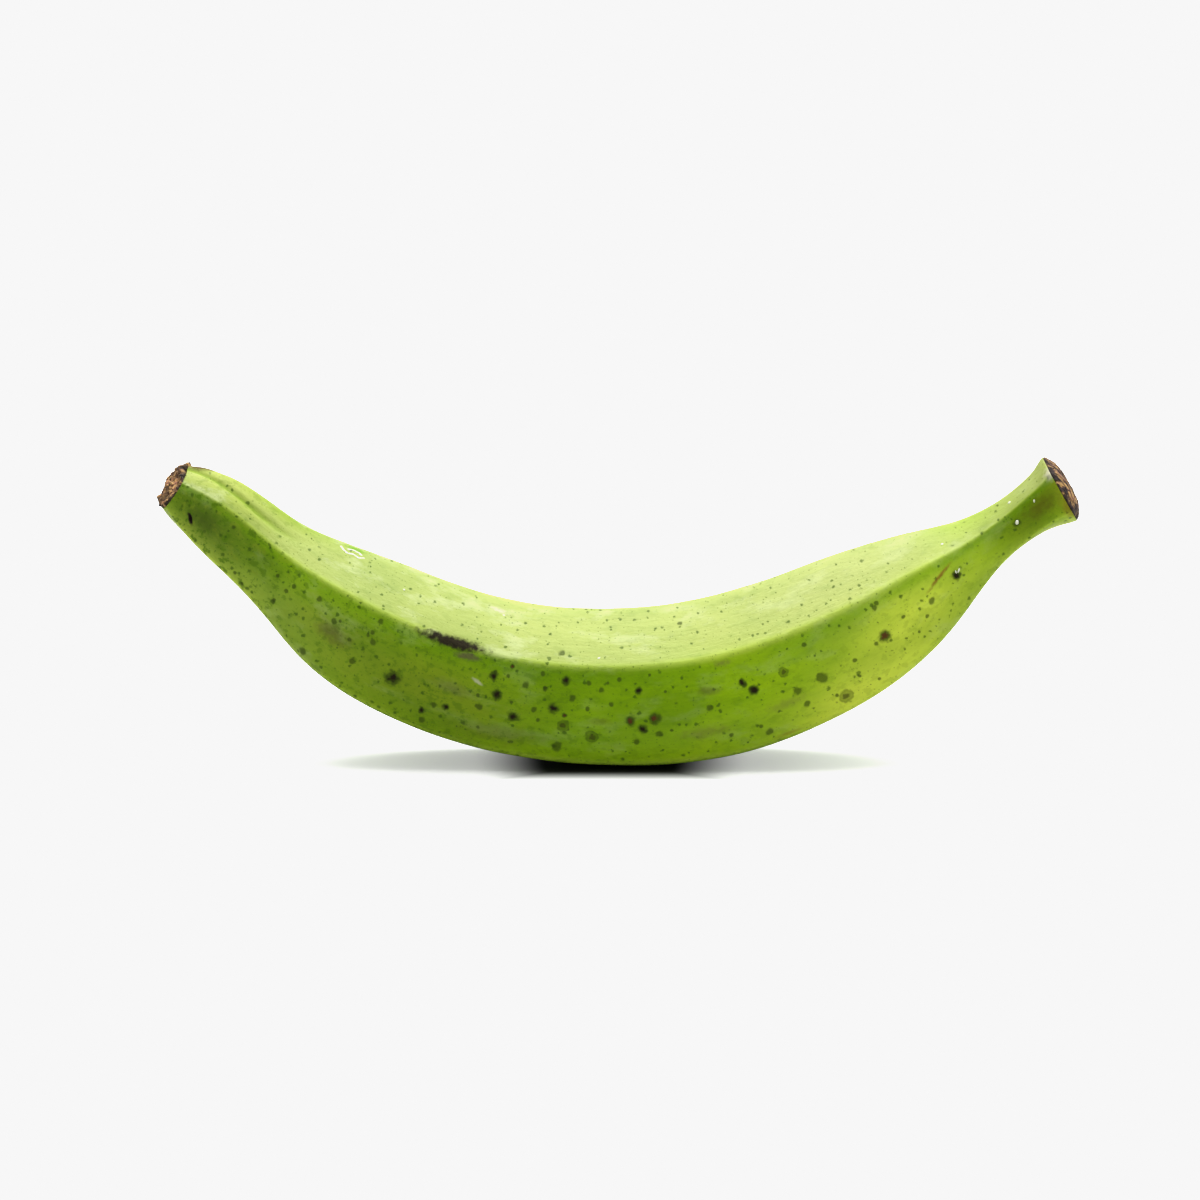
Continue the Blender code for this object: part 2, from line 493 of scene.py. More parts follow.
def cut_height(out, turn):
    """The cut face: a dome that is one less the fourth power of the way out."""
    ends = 0.16 * round_waves(out, turn, STRING) + 0.10 * round_waves(out, turn, CRUMB)
    return CUT_DOME * (1.0 - out ** 4) + CUT_LIFT + ends


def cut_spread(turn):
    """A slightly uneven edge, where the peel shrank back from the cut."""
    return CUT_SPREAD * edge_waves(turn, CRUMB)


cut_places = end_plug(LENGTH, 1.0, 0.965, cut_height, cut_spread)
print("the cut face is %.1f mm wide" % np.ptp(cut_places[..., 1]))

# %% [markdown]
# ## Beads of dried sap
#
# Plantain sap runs out of a scratch and dries to clear, pale beads and threads. Each
# bead is a low dome on the skin, and a thread is a chain of small long domes. All of
# them are one piece, made of separate little closed surfaces.

# %% Small domes on the skin
# Along, angle, half length, half width, turn in degrees, height in mm.
BEADS = [
    (284.8, -80.0, 0.72, 0.55, 40.0, 0.6), (286.2, -33.0, 0.6, 0.4, 10.0, 0.35),
    (292.7, -65.0, 0.45, 0.3, 60.0, 0.3), (261.9, -88.6, 0.8, 0.28, 30.0, 0.35),
    (261.0, -87.6, 0.5, 0.2, 70.0, 0.3), (77.0, -36.5, 0.45, 0.35, 0.0, 0.25),
    (146.0, -57.0, 0.5, 0.3, 30.0, 0.25), (112.5, -27.5, 0.5, 0.3, 0.0, 0.2),
    (262.5, -47.0, 0.45, 0.3, 0.0, 0.25), (289.0, 75.0, 0.7, 0.5, 30.0, 0.5),
    (200.0, 95.0, 0.5, 0.4, 0.0, 0.3), (92.0, 118.0, 0.6, 0.4, 20.0, 0.3),
]
BEAD_SINK = 0.08            # mm that every bead sits in the skin
DOME_ROWS = 9
DOME_COLUMNS = 20
# Two threads: corners as along and angle, then the half length,
# least half width and height of the links.
THREADS = (
    (((51.6, -17.0), (53.0, -20.5), (54.6, -22.6), (56.4, -21.0), (58.6, -23.0), (60.4, -20.2)),
     0.42, 0.22, 0.2),
    (((54.0, -17.5), (55.6, -15.8), (57.8, -16.6), (59.0, -18.6)),
     0.4, 0.2, 0.18),
)
LINKS = 7                   # between two corners
for corners, half_length, least_width, height in THREADS:
    for start, end in zip(corners[:-1], corners[1:]):
        for step in np.arange(LINKS) / LINKS:
            here = [a + (b - a) * step for a, b in zip(start, end)]
            half_width = least_width + 0.1 * chance.random()
            turn = chance.uniform(-40.0, 40.0)
            BEADS.append((*here, half_length, half_width, turn, height))


def dome(bead_along, bead_angle, half_length, half_width, turn, height):
    """One closed bead: a grid whose lift is the height times the root of 1 - out²."""
    out = np.concatenate((np.sin(np.linspace(0.0, np.pi / 2.0, DOME_ROWS)), (0.9, 0.0)))
    around = np.linspace(0.0, 2.0 * np.pi, DOME_COLUMNS, endpoint=False)
    out, around = np.meshgrid(out, around, indexing="ij")
    lengthwise = out * half_length * np.cos(around)
    crosswise = out * half_width * np.sin(around)
    cosine, sine = np.cos(turn * DEGREE), np.sin(turn * DEGREE)
    radius = skin_radius(np.array(bead_along), np.array(bead_angle * DEGREE))
    at = bead_along + lengthwise * cosine - crosswise * sine
    bearing = bead_angle * DEGREE + (lengthwise * sine + crosswise * cosine) / radius
    lift = height * np.sqrt(np.maximum(1.0 - out ** 2, 0.0))
    lift[-2:] = 0.0
    return skin_point(at, bearing, lift=lift - BEAD_SINK)


bead_places = [dome(*bead) for bead in BEADS]
print("there are", len(bead_places), "beads of sap")

# %% [markdown]
# ## Setting the fruit down
#
# All the places above are in the fruit's own millimetres. They are moved together so
# that the fruit stands in the solid's box, with its lowest skin pressed flat on the
# surface, as the fruit's own weight does.

# %% Into the frame
REST_FLAT_DEPTH = 0.4       # mm of skin pressed flat
LINE_OFFSET = -1.25         # mm from the box's middle to the line's, along X
made = np.concatenate([grid.reshape(-1, 3) for grid in (peel_places, scar_places, cut_places)])
middle = 0.5 * (box_low + box_high) / MM
shift = middle - 0.5 * (made.min(axis=0) + made.max(axis=0))
shift[0] = middle[0] - 0.5 * (CENTRE_LINE[0, 0] + CENTRE_LINE[-1, 0]) + LINE_OFFSET
shift[2] = -REST_FLAT_DEPTH - made[:, 2].min()
print("everything moves by", np.round(shift, 2), "mm")


def set_down(places):
    """Move places into the frame in metres, and press what is below zero flat."""
    moved = places + shift
    moved[..., 2] = np.maximum(moved[..., 2], 0.0)
    return moved * MM


# %% [markdown]
# ## From a grid to a mesh
#
# A grid of places becomes a closed mesh in one helper. The first and last rows are
# single points, so a fan of triangles closes each pole. Each piece also gets its own
# UV map, because a pattern that is saved as a picture later needs one, and a chart
# that follows the surface wastes less of the picture than an automatic one.

# %% A closed mesh from a grid
def join_ends(grid):
    """Rows of a grid as one list, with the first and last rows taken as one point."""
    width = grid.shape[-1]
    return np.concatenate((grid[:1, 0], grid[1:-1].reshape(-1, width), grid[-1:, 0]))


def grid_corners(rows, columns):
    """Corner lists of a closed grid: point numbers, and places in its chart.

    The chart has one more column than the grid, where the seam's far side lies.
    """
    ring = np.arange(columns)
    point = 1 + np.arange((rows - 2) * columns).reshape(rows - 2, columns)
    after = np.roll(point, -1, axis=1)
    chart = np.arange(rows * (columns + 1)).reshape(rows, columns + 1)
    near, far = chart[1:-1, :-1], chart[1:-1, 1:]
    last = 0 * ring + (rows - 2) * columns + 1
    corners = []
    for here, there, first, end in ((point, after, 0 * ring, last),
                                    (near, far, chart[0, :-1], chart[-1, :-1])):
        quads = np.stack((here[:-1], there[:-1], there[1:], here[1:]), axis=-1)
        top = np.stack((first, there[0], here[0]), axis=-1)
        foot = np.stack((here[-1], there[-1], end), axis=-1)
        corners.append([quads.reshape(-1, 4), top, foot])
    return corners


def closed_piece(name, grids, charts):
    """One object from one or more closed grids, with its UV map, facing outwards."""
    points, faces, spots = [], [], []
    count = chart_count = 0
    for grid, chart in zip(grids, charts):
        corners, corner_charts = grid_corners(*grid.shape[:2])
        flat = join_ends(grid)
        first = flat[corners[0]]
        volume = sum(np.sum(first[:, 0] * np.cross(first[:, turn], first[:, turn + 1]))
                     for turn in (1, 2))
        order = -1 if volume < 0.0 else 1
        points.append(flat)
        faces += [(part + count)[:, ::order] for part in corners]
        spots += [(part + chart_count)[:, ::order] for part in corner_charts]
        count += len(flat)
        chart_count += chart.shape[0] * chart.shape[1]
    mesh = bpy.data.meshes.new(name)
    corner_lists = [face for part in faces for face in part.tolist()]
    mesh.from_pydata(np.concatenate(points).tolist(), [], corner_lists)
    chart_places = np.concatenate([chart.reshape(-1, 2) for chart in charts])
    corner_spots = np.concatenate([part.ravel() for part in spots])
    mesh.uv_layers.new(name="OFBake").data.foreach_set("uv", chart_places[corner_spots].ravel())
    mesh.shade_smooth()
    mesh.validate()
    piece = bpy.data.objects.new(name, mesh)
    bpy.context.scene.collection.objects.link(piece)
    print(name, "has", len(mesh.polygons), "faces")
    return piece


# %% The four pieces
CHART_EDGE = 0.002          # clear border of a chart
DISC_RADIUS = 0.49          # of a round chart


def strip_chart(rows, columns):
    """A chart whose first number runs along the rows and second across the columns."""
    shares = np.meshgrid(np.linspace(0.0, 1.0, rows), np.linspace(0.0, 1.0, columns + 1),
                         indexing="ij")
    return CHART_EDGE + (1.0 - 2.0 * CHART_EDGE) * np.stack(shares, axis=-1)


def disc_chart(rows, columns):
    """A chart that lays the rows out as rings round the middle of a disc."""
    out, around = np.meshgrid(np.linspace(0.0, DISC_RADIUS, rows),
                              np.linspace(0.0, 2.0 * np.pi, columns + 1), indexing="ij")
    return 0.5 + on_disc(out, around, 1.0)[..., :2]


def tiled_charts(count, rows, columns):
    """A small disc chart for each of many beads, side by side in a square."""
    side = int(np.ceil(np.sqrt(count)))
    places = np.stack(np.divmod(np.arange(count), side), axis=-1)[:, None, None, :]
    return list((places + disc_chart(rows, columns)) / side)


def grid_piece(name, grid, chart):
    """A piece made of one grid, with a chart for its rows and columns."""
    return closed_piece(name, [set_down(grid)], [chart(*grid.shape[:2])])


peel = grid_piece("peel", peel_places, strip_chart)
blossom_scar = grid_piece("blossom_scar", scar_places, disc_chart)
stalk_cut = grid_piece("stalk_cut", cut_places, disc_chart)
dried_sap = closed_piece("dried_sap", [set_down(grid) for grid in bead_places],
                         tiled_charts(len(bead_places), *bead_places[0].shape[:2]))

# %% [markdown]
# ## The broad colour of the skin
#
# The green isn't one green. The inside of the curve is paler and yellower, partly its
# own tone and partly painted sheen from the light above. A yellow lime before the stalk
# and a paler underside at both ends are painted light, from the right and from the
# floor. The front is darker and more olive in its first third, partly bruising and
# partly painted shade. Such broad washes could be noise, but they have places of their
# own, so they are worked out here for every point and stored as the skin's ground
# colour. The shader adds everything that is finer.

# %% Washes of green
SIDE_GREEN = np.array((0.225, 0.40, 0.002))
# the upper skin's yellower green, made paler and whiter by painted sheen from the light above
TOP_GREEN_AND_SHEEN = np.array((0.40, 0.475, 0.13))
# pale ridge lines: partly worn wax, partly a painted highlight on the rounded ridges
RIDGE_WAX_AND_HIGHLIGHT = np.array((0.48, 0.64, 0.07))
TOP_EDGE = 64.5 * DEGREE            # where the pale upper skin ends
TOP_FADE = 3.2 * DEGREE
RIDGE_WIDTH = 2.6 * DEGREE          # of the pale line along a ridge
RIDGE_COVER = 0.45
# painted shade: the groove near the tip is coloured darker
CREASE_SHADE = (0.20, 0.32, 0.015)  # in the groove
CREASE_COVER = 0.7
BELOW_RIDGE = (0.19, 0.36, 0.003)   # a band just below the pale upper skin
BELOW_PLACE = 70.0 * DEGREE
BELOW_WIDTH = 5.0 * DEGREE
BELOW_COVER = 0.6
# Along, angle, reach along in mm, reach round in degrees, colour, cover.
WASHES = (
    # painted light: the front before the stalk paler and yellower, as a light from the right
    # would make it
    (244.0, -104.0, 23.0, 32.0, (0.64, 0.76, 0.07), 0.95),
    (222.0, -124.0, 26.0, 24.0, (0.60, 0.72, 0.07), 0.9),
    (188.0, -96.0, 26.0, 30.0, (0.28, 0.47, 0.002), 0.7),
    (60.0, -30.0, 22.0, 34.0, (0.30, 0.385, 0.10), 0.65),
    (232.0, -28.0, 26.0, 34.0, (0.50, 0.56, 0.19), 0.75),
    (26.0, -8.0, 26.0, 17.0, (0.22, 0.34, 0.015), 0.85),
    (140.0, -112.0, 12.0, 12.0, (0.20, 0.38, 0.006), 0.7),
    (66.0, -96.0, 16.0, 12.0, (0.16, 0.21, 0.02), 0.5),
    # darker front in the first third: partly bruising, partly painted shade
    (92.0, -104.0, 28.0, 24.0, (0.14, 0.235, 0.012), 0.75),
    (48.0, -112.0, 26.0, 26.0, (0.26, 0.37, 0.055), 0.65),
    (11.0, -95.0, 18.0, 36.0, (0.085, 0.150, 0.010), 0.9),
    (26.0, -76.0, 16.0, 12.0, (0.10, 0.19, 0.008), 0.6),
    # more of the darker front: partly bruising, partly painted shade
    (72.0, -108.0, 26.0, 30.0, (0.155, 0.255, 0.010), 0.55),
    (102.0, -98.0, 28.0, 30.0, (0.145, 0.225, 0.008), 0.65),
    (16.0, -96.0, 18.0, 34.0, (0.07, 0.125, 0.008), 0.5),
    (14.0, -47.0, 15.0, 16.0, (0.31, 0.40, 0.055), 0.65),
    # painted light: the underside of both ends paler, as bounce from the floor would light it
    (20.0, -160.0, 30.0, 32.0, (0.58, 0.66, 0.13), 0.9),
    (284.0, -156.0, 30.0, 30.0, (0.58, 0.66, 0.13), 0.9),
    (303.0, -78.0, 6.0, 34.0, (0.40, 0.38, 0.03), 0.65),
    (288.0, -92.0, 12.0, 38.0, (0.15, 0.215, 0.008), 0.75),
    (272.0, 0.0, 12.0, 60.0, (0.36, 0.52, 0.03), 0.6),
    (170.0, -112.0, 30.0, 14.0, (0.20, 0.34, 0.02), 0.4),
    (12.0, 0.0, 14.0, 50.0, (0.48, 0.52, 0.12), 0.5),
    (110.0, 110.0, 60.0, 30.0, (0.17, 0.30, 0.02), 0.5),
    (250.0, 110.0, 26.0, 34.0, (0.42, 0.54, 0.04), 0.7),
    (288.0, 100.0, 12.0, 40.0, (0.16, 0.22, 0.01), 0.65),
    (150.0, 180.0, 70.0, 26.0, (0.25, 0.40, 0.03), 0.5),
)


def toward(colour, other, share):
    """Move a colour the given share of the way to another."""
    return colour + (np.asarray(other) - colour) * share[..., None]


pinched = drawn_together(along, angle)
away_from_top = np.abs(pinched)
topness = 1.0 - step_up(away_from_top, TOP_EDGE - TOP_FADE, TOP_EDGE + TOP_FADE)
ground = toward(SIDE_GREEN + 0.0 * peel_places, TOP_GREEN_AND_SHEEN, topness)
for wash_along, wash_angle, reach, reach_round, colour, cover in WASHES:
    swing = half_turned(angle - wash_angle * DEGREE)
    share = cover * bell(along, wash_along, reach) * bell(swing, 0.0, reach_round * DEGREE)
    ground = toward(ground, colour, share)
ridge_line = sum(bell(pinched, ridge, RIDGE_WIDTH) for ridge in RIDGES[1:])
band = bell(away_from_top, BELOW_PLACE, BELOW_WIDTH) * (1.0 - topness)
ground = toward(ground, RIDGE_WAX_AND_HIGHLIGHT, RIDGE_COVER * np.clip(ridge_line, 0.0, 1.0))
ground = toward(ground, CREASE_SHADE, CREASE_COVER * hollow(along, angle))
ground = toward(ground, BELOW_RIDGE, BELOW_COVER * band)
print("the mean ground colour is", np.round(ground.mean(axis=(0, 1)), 3))

# %% [markdown]
# ## Spots and marks
#
# Green plantains carry dark spots with an olive halo, faint rings, rusty spots and
# small green ones. A texture of random dots can't put them where this fruit has them,
# so the ones that are seen best are listed, and others are scattered.
#
# The trick is in how the skin remembers them. Each point near a spot stores how far
# it is from the spot's middle, in the spot's own radii. Those numbers change evenly
# across a triangle, so the shader gets a clean edge from a grid that is coarser than
# the spot. Two spots that are close would disturb each other, so they are dealt onto
# a few sheets, like transfers laid over the same skin.

# %% Spots, listed and scattered by chance
DARK, GREEN, RING, RUST = range(4)
# Distance along in mm, angle in degrees, radius in mm, kind.
SPOTS = [
    (86.0, -104.0, 2.2, DARK), (76.0, -86.0, 0.9, GREEN), (75.0, -70.0, 0.8, GREEN),
    (97.0, -118.0, 1.0, DARK), (98.0, -124.5, 0.9, GREEN), (99.6, -111.0, 0.8, GREEN),
    (103.0, -109.5, 1.0, DARK), (112.0, -102.0, 1.0, GREEN), (114.0, -77.0, 1.3, DARK),
    (116.0, -90.0, 1.5, DARK), (119.0, -68.5, 0.7, RUST), (122.0, -103.0, 1.6, DARK),
    (124.0, -79.0, 1.0, GREEN), (130.0, -80.0, 0.8, GREEN), (133.0, -93.5, 1.6, DARK),
    (136.5, -97.5, 0.8, RUST), (136.0, -73.0, 1.4, DARK), (138.5, -84.5, 0.9, GREEN),
    (136.3, -105.5, 1.5, RING), (144.5, -112.5, 1.6, RING), (135.0, -121.0, 1.3, GREEN),
    (155.5, -100.0, 1.5, RUST), (158.8, -106.0, 1.4, DARK), (162.5, -99.0, 1.6, RUST),
    (161.0, -90.5, 1.5, DARK), (163.5, -110.5, 1.0, GREEN), (157.0, -115.5, 0.8, GREEN),
    (158.0, -79.0, 1.1, DARK), (178.5, -96.0, 0.9, GREEN), (189.6, -84.0, 1.2, DARK),
    (192.2, -91.0, 1.5, DARK), (202.0, -86.0, 1.3, RING), (204.0, -103.0, 1.2, GREEN),
    (205.0, -114.5, 0.8, GREEN), (211.7, -101.0, 1.5, GREEN), (215.8, -121.5, 1.7, RING),
    (193.0, -123.0, 0.9, GREEN), (235.0, -73.0, 0.8, GREEN), (233.4, -96.5, 1.7, RUST),
    (250.5, -95.5, 0.9, GREEN), (260.5, -92.0, 1.4, DARK), (134.0, -54.0, 1.0, GREEN),
    (173.5, -30.5, 0.8, GREEN), (147.0, -78.0, 0.8, GREEN), (150.0, -88.0, 0.7, GREEN),
    (143.0, -92.0, 0.7, GREEN), (127.5, -96.0, 0.8, GREEN), (143.0, -74.0, 0.7, GREEN),
]
# Along from, along to, angle from, angle to, smallest and largest radius, kind, count.
SCATTER = (
    (40.0, 240.0, 75.0, 178.0, 0.9, 1.9, DARK, 26),
    (60.0, 220.0, 75.0, 170.0, 1.4, 2.1, RING, 9),
    (60.0, 230.0, -176.0, -140.0, 0.8, 1.6, RUST, 5),
    (60.0, 230.0, 75.0, 175.0, 0.8, 1.6, RUST, 6),
    (20.0, 250.0, 70.0, 178.0, 0.6, 1.2, GREEN, 60),
    (20.0, 75.0, -130.0, -75.0, 0.6, 1.2, GREEN, 16),
    (108.0, 176.0, -112.0, -68.0, 0.5, 0.8, GREEN, 22),
    (40.0, 240.0, -178.0, -138.0, 0.5, 1.4, GREEN, 24),
    (180.0, 250.0, -125.0, -70.0, 0.5, 0.8, GREEN, 12),
)
# The core's colour, and how much core, ring and halo each kind has.
KINDS = (
    ((0.014, 0.008, 0.004), (0.95, 0.0, 0.9)),
    ((0.030, 0.060, 0.004), (0.0, 0.0, 0.75)),
    ((0.036, 0.032, 0.006), (0.66, 0.42, 0.45)),
    ((0.095, 0.038, 0.010), (0.95, 0.0, 0.85)),
)
SPOT_SWELL = 1.2            # the halo fades outside the radius that is listed


def spot_mark(along, angle, radius, kind):
    """A spot written like a larger mark: its place and half sizes, tint and habits."""
    return ((along, angle, radius, radius, 0.0), *KINDS[kind])


spot_marks = [spot_mark(a, t, r * SPOT_SWELL, kind) for a, t, r, kind in SPOTS]
for first, last, low, high, small, large, kind, count in SCATTER:
    for _ in range(count):
        radius = small + (large - small) * chance.random() ** 2
        spot_along = chance.uniform(first, last)
        spot_marks.append(spot_mark(spot_along, chance.uniform(low, high), radius, kind))

# %% Larger marks
SCAR_TINT = (0.016, 0.008, 0.009)
CRUST_TINT = (0.11, 0.085, 0.05)
BRUISE_TINT = (0.085, 0.070, 0.018)
OLIVE_TINT = (0.105, 0.105, 0.006)
RUST_TINT = (0.20, 0.085, 0.012)
PALE_TINT = (0.66, 0.62, 0.48)
# greyish: rubbed wax, and on the low front also a painted sheen
RUBBED_AND_SHEEN_TINT = (0.17, 0.18, 0.035)
FRESH_TINT = (0.14, 0.32, 0.004)
DEEP_TINT = (0.03, 0.055, 0.004)
SHADE_TINT = (0.050, 0.085, 0.008)
DRY_TINT = (0.13, 0.075, 0.035)
# A mark, its tint, and its cover, softness of edge, and how rough it leaves the skin.
MARKS = (
    ((98.5, -63.6, 15.0, 2.5, 3.0), SCAR_TINT, (0.97, 0.6, 0.8)),
    ((104.5, -69.5, 5.5, 1.5, 3.0), CRUST_TINT, (0.75, 0.8, 0.9)),
    ((64.4, -98.0, 8.0, 4.0, 0.0), BRUISE_TINT, (0.6, 0.95, 0.3)),
    ((284.6, -81.0, 1.7, 1.4, 0.0), DEEP_TINT, (0.8, 0.7, 0.0)),
    ((13.5, -97.0, 8.0, 4.5, 4.0), SHADE_TINT, (0.6, 0.95, 0.2)),
    ((103.0, -94.0, 9.0, 2.6, -6.0), BRUISE_TINT, (0.35, 0.95, 0.3)),
    ((118.0, -119.0, 16.0, 4.0, 3.0), BRUISE_TINT, (0.32, 0.95, 0.2)),
    ((179.0, -84.0, 5.5, 1.8, -8.0), BRUISE_TINT, (0.5, 0.9, 0.3)),
    ((185.0, -68.5, 4.0, 1.3, -4.0), RUBBED_AND_SHEEN_TINT, (0.6, 0.9, 0.5)),
    # painted sheen: two greyish patches low on the front, partly rubbed wax
    ((176.0, -113.0, 10.0, 2.6, 0.0), RUBBED_AND_SHEEN_TINT, (0.5, 0.95, 0.3)),
    ((200.0, -109.0, 9.0, 2.2, 0.0), RUBBED_AND_SHEEN_TINT, (0.45, 0.95, 0.3)),
    ((147.0, -101.0, 5.0, 1.6, 0.0), OLIVE_TINT, (0.35, 0.95, 0.2)),
    ((256.5, -80.0, 7.5, 0.75, 17.0), RUST_TINT, (0.8, 0.8, 0.5)),
    ((198.2, -129.0, 5.0, 1.0, 0.0), RUST_TINT, (0.4, 0.9, 0.3)),
    ((110.7, -24.0, 4.5, 1.5, -10.0), PALE_TINT, (0.6, 0.9, 0.6)),
    ((56.2, -13.5, 5.0, 1.5, 0.0), FRESH_TINT, (0.85, 0.8, 0.0)),
    ((109.6, -84.0, 2.4, 0.8, -20.0), PALE_TINT, (0.5, 0.8, 0.5)),
    ((9.1, -109.5, 2.3, 0.85, -28.0), SCAR_TINT, (1.0, 0.5, 0.9)),
    ((293.5, -80.0, 8.0, 4.0, 0.0), OLIVE_TINT, (0.7, 0.95, 0.3)),
    ((301.0, -112.0, 3.6, 6.0, 0.0), RUST_TINT, (0.55, 0.95, 0.4)),
    ((300.6, -46.0, 3.2, 3.2, 0.0), PALE_TINT, (0.75, 0.9, 0.4)),
    ((3.2, -5.0, 6.5, 1.7, 2.0), DRY_TINT, (0.95, 0.75, 0.9)),
    ((120.0, 100.0, 14.0, 5.0, 5.0), BRUISE_TINT, (0.3, 0.95, 0.3)),
    ((170.0, 64.0, 9.0, 1.5, 3.0), SCAR_TINT, (0.7, 0.7, 0.8)),
    ((205.0, 115.0, 12.0, 3.0, -8.0), RUBBED_AND_SHEEN_TINT, (0.5, 0.95, 0.4)),
    ((75.0, 92.0, 7.0, 2.4, 10.0), RUBBED_AND_SHEEN_TINT, (0.5, 0.95, 0.4)),
    ((150.0, 40.0, 6.0, 1.2, 12.0), PALE_TINT, (0.45, 0.9, 0.4)),
    ((140.0, -170.0, 16.0, 5.0, 0.0), RUBBED_AND_SHEEN_TINT, (0.4, 0.95, 0.4)),
    ((293.5, 80.0, 8.0, 5.0, 0.0), OLIVE_TINT, (0.6, 0.95, 0.3)),
    ((301.0, 140.0, 3.6, 7.0, 0.0), RUST_TINT, (0.5, 0.95, 0.4)),
)

# %% Dealing marks onto sheets
CLEAR = 20.0                # stored where there is no mark: far outside any edge
KNOWN_EDGE = 1.3            # mm of skin round a mark that still know its place
KEPT_APART = 1.6            # further mm that stay clear between two marks
SHEETS = 3


def deal(marks):
    """Lay marks on sheets so that none touch, and give each sheet's stored numbers.

    A mark goes on the first sheet that is still clear all round it, and is left out
    if there is none. A sheet stores each point's place in its mark, the mark's tint,
    and the mark's three habits.
    """
    sheets = [[np.zeros(along.shape + (3,)) for _ in range(3)] for _ in range(SHEETS)]
    for sheet in sheets:
        sheet[0][..., 2] = CLEAR
    left_out = 0
    for mark, tint, habit in marks:
        lengthwise, crosswise = ellipse_place(along, angle, mark)
        inside = [np.hypot(lengthwise / (1.0 + edge / mark[2]),
                           crosswise / (1.0 + edge / mark[3])) < 1.0
                  for edge in (KNOWN_EDGE, KNOWN_EDGE + KEPT_APART)]
        known, near = inside
        free = [sheet for sheet in sheets if np.all(sheet[0][near][:, 2] == CLEAR)]
        if not free:
            left_out += 1
            continue
        place, tints, habits = free[0]
        place[known] = np.stack((lengthwise, crosswise, 0.0 * along), axis=-1)[known]
        tints[known] = tint
        habits[known] = habit
    print("laid down", len(marks) - left_out, "marks and left out", left_out)
    return sheets


def remember(piece, name, grid):
    """Store three numbers at each point of a piece, under a name the shader reads."""
    values = join_ends(grid).astype(np.float32)
    kept = piece.data.attributes.new(name, "FLOAT_VECTOR", "POINT")
    kept.data.foreach_set("vector", values.ravel())


# Specks are few everywhere, more on the side up to the middle, and dense before 80 mm.
# A whitish bloom lies on the top, less past the middle, and faintly on the side near the tip; on
# the top it is partly painted sheen.
SPECKS_EVERYWHERE = 0.12
SPECKS_SIDE = 0.55
SPECKS_DENSE = 1.15
FROST_SIDE = 0.25
calm = 1.0 - 0.7 * topness
fewer = 1.0 - 0.75 * step_up(along, 100.0, 165.0)
dense = SPECKS_DENSE * (1.0 - step_up(along, 20.0, 80.0)) * calm
speckled = np.maximum(SPECKS_EVERYWHERE + SPECKS_SIDE * (1.0 - topness) * fewer, dense)
side_frost = FROST_SIDE * bell(along, 58.0, 34.0) * (1.0 - topness)
bloom_and_sheen_share = np.maximum(topness * (1.0 - step_up(along, 110.0, 190.0) * 0.5), side_frost)
remember(peel, "ground", ground)
remember(peel, "habit", np.stack((speckled, bloom_and_sheen_share, calm), axis=-1))
remember(peel, "straight", straightened(along, angle) * MM)
for family, marks in (("spot", spot_marks), ("mark", MARKS)):
    for number, sheet in enumerate(deal(marks)):
        for part, grid in zip(("place", "tint", "habit"), sheet):
            remember(peel, "%s_%s_%d" % (family, part, number), grid)


# %% [markdown]
# ## Helpers for shader nodes
#
# A material is a graph of nodes. Written out in full, each node takes five or six
# lines, and the recipe gets lost. These helpers add one node per line and return its
# output, so that the cells below read like the recipe itself.

# %% One line per node
def fill(tree, made, sockets):
    """Fill a node's sockets with numbers or links, by name or by number."""
    for name, value in dict(sockets).items():
        if isinstance(value, bpy.types.NodeSocket):
            tree.links.new(value, made.inputs[name])
        else:
            made.inputs[name].default_value = value
    return made


def add(tree, kind, sockets=(), **settings):
    """Add a shader node, set its settings and fill its sockets."""
    made = tree.nodes.new("ShaderNode" + kind)
    for name, value in settings.items():
        setattr(made, name, value)
    return fill(tree, made, sockets)


def reckon(tree, operation, first, second):
    """A Math node's result for two numbers or links."""
    return add(tree, "Math", {0: first, 1: second}, operation=operation).outputs[0]


def times(tree, first, second):
    """The product of two numbers or links."""
    return reckon(tree, "MULTIPLY", first, second)


def plus(tree, first, second):
    """The sum of two numbers or links."""
    return reckon(tree, "ADD", first, second)


def vector(tree, operation, sockets, output=0):
    """A Vector Math node's result."""
    return add(tree, "VectorMath", sockets, operation=operation).outputs[output]


def ease(tree, value, low, high, to_low=0.0, to_high=1.0):
    """A smooth step from one number to another as a value goes from low to high."""
    sockets = {"Value": value, "From Min": low, "From Max": high,
               "To Min": to_low, "To Max": to_high}
    return add(tree, "MapRange", sockets, interpolation_type="SMOOTHSTEP").outputs["Result"]


def tinted(tree, share, colour, other, mode="MIX"):
    """A colour laid over another by a share."""
    settings = {"data_type": "RGBA", "blend_type": mode, "clamp_factor": True}
    return add(tree, "Mix", {0: share, 6: colour, 7: other}, **settings).outputs[2]


def stored(tree, name, output="Vector"):
    """Numbers that the mesh keeps at its points."""
    return add(tree, "Attribute", attribute_name=name).outputs[output]


def apart(tree, place):
    """The three numbers of a place, one by one."""
    return add(tree, "SeparateXYZ", {"Vector": place}).outputs


def noise(tree, place, scale, detail=2.0, rough=0.5):
    """Smooth noise around one half, with this many lumps to the metre."""
    sockets = {"Vector": place, "Scale": scale, "Detail": detail, "Roughness": rough}
    return add(tree, "TexNoise", sockets).outputs["Fac"]


def wandering(tree, place, scale, detail=2.0):
    """A small direction that changes smoothly from place to place, in three numbers."""
    sockets = {"Vector": place, "Scale": scale, "Detail": detail}
    drift = add(tree, "TexNoise", sockets).outputs["Color"]
    return vector(tree, "SUBTRACT", {0: drift, 1: (0.5, 0.5, 0.5)})


def stretched(tree, place, size):
    """Places scaled by three numbers, which stretches any pattern read from them."""
    return add(tree, "Mapping", {"Vector": place, "Scale": size}).outputs["Vector"]


